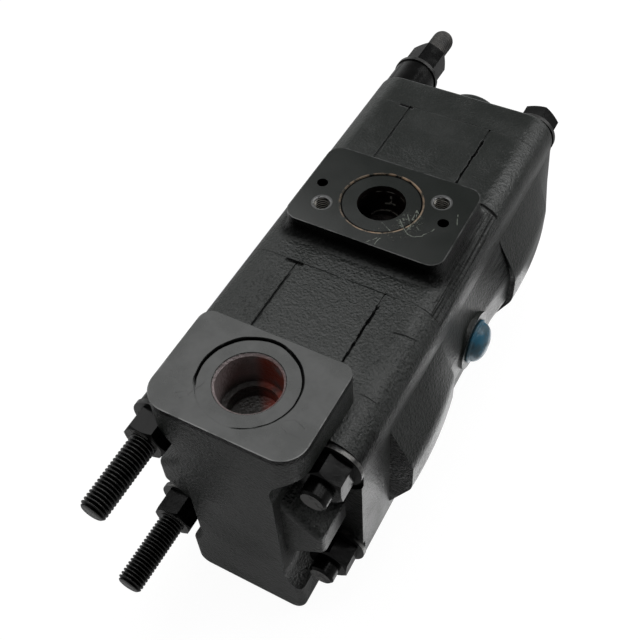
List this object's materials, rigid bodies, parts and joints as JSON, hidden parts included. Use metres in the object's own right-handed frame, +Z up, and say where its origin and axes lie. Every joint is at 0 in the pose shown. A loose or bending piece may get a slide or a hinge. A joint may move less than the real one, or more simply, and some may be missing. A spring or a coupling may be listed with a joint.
{
  "type": "gear flow divider",
  "caption": "Black cast-iron rotary gear flow divider: geared sections stacked between end covers, with a flanged inlet on top, a threaded outlet and protruding tie studs.",
  "frame": {"origin": "centre of the inlet port's face, on top of the centre block", "axes": "+Z up, out of the inlet port; +Y along the stack, from the cover with the threaded port to the closing cover; +X towards the side port"},
  "size_m": [0.1406, 0.389, 0.159],
  "materials": {
    "painted_casting": "semi-matt black paint on cast iron",
    "black_fastener": "black oxide and overspray",
    "washer_steel": "painted over, with worn rims",
    "ground_steel": "hardened and ground",
    "bearing_bronze": "machined bearing bronze",
    "seal_rubber": "moulded",
    "plug_plastic": "moulded polyethylene"
  },
  "bodies": {
    "frame": {"near_end_cover": "painted_casting", "front_gear_housing": "painted_casting", "centre_port_block": "painted_casting", "rear_gear_housing": "painted_casting", "far_end_cover": "painted_casting", "upper_left_stud": "black_fastener", "lower_left_stud": "black_fastener", "upper_right_bolt": "black_fastener", "lower_right_bolt": "black_fastener", "near_nuts": "black_fastener", "near_washers": "washer_steel", "near_collars": "black_fastener", "far_nuts": "black_fastener", "far_washers": "washer_steel", "far_collars": "black_fastener", "near_cover_bushes": "bearing_bronze", "block_front_bushes": "bearing_bronze", "block_rear_bushes": "bearing_bronze", "far_cover_bushes": "bearing_bronze", "front_near_thrust_plate": "bearing_bronze", "front_far_thrust_plate": "bearing_bronze", "rear_near_thrust_plate": "bearing_bronze", "rear_far_thrust_plate": "bearing_bronze", "near_cover_seal": "seal_rubber", "block_front_seal": "seal_rubber", "block_rear_seal": "seal_rubber", "far_cover_seal": "seal_rubber", "near_cover_dowels": "ground_steel", "block_front_dowels": "ground_steel", "block_rear_dowels": "ground_steel", "far_cover_dowels": "ground_steel", "side_port_plug": "plug_plastic"},
    "drive_train": {"front_drive_gear": "ground_steel", "rear_drive_gear": "ground_steel", "coupling_shaft": "ground_steel"},
    "front_driven": {"front_driven_gear": "ground_steel"},
    "rear_driven": {"rear_driven_gear": "ground_steel"}
  },
  "joints": [
    {"name": "drive_train_spin", "type": "hinge", "parent": "frame", "child": "drive_train", "pos_m": [0, -0.0075, -0.04525], "axis": [0, 1, 0], "continuous": true},
    {"name": "front_driven_spin", "type": "hinge", "parent": "frame", "child": "front_driven", "pos_m": [0, -0.076, -0.09075], "axis": [0, 1, 0], "continuous": true},
    {"name": "rear_driven_spin", "type": "hinge", "parent": "frame", "child": "rear_driven", "pos_m": [0, 0.061, -0.09075], "axis": [0, 1, 0], "continuous": true}
  ],
  "couplings": [
    {"joint": "front_driven_spin", "follows": "drive_train_spin", "ratio": -1},
    {"joint": "rear_driven_spin", "follows": "drive_train_spin", "ratio": -1}
  ]
}
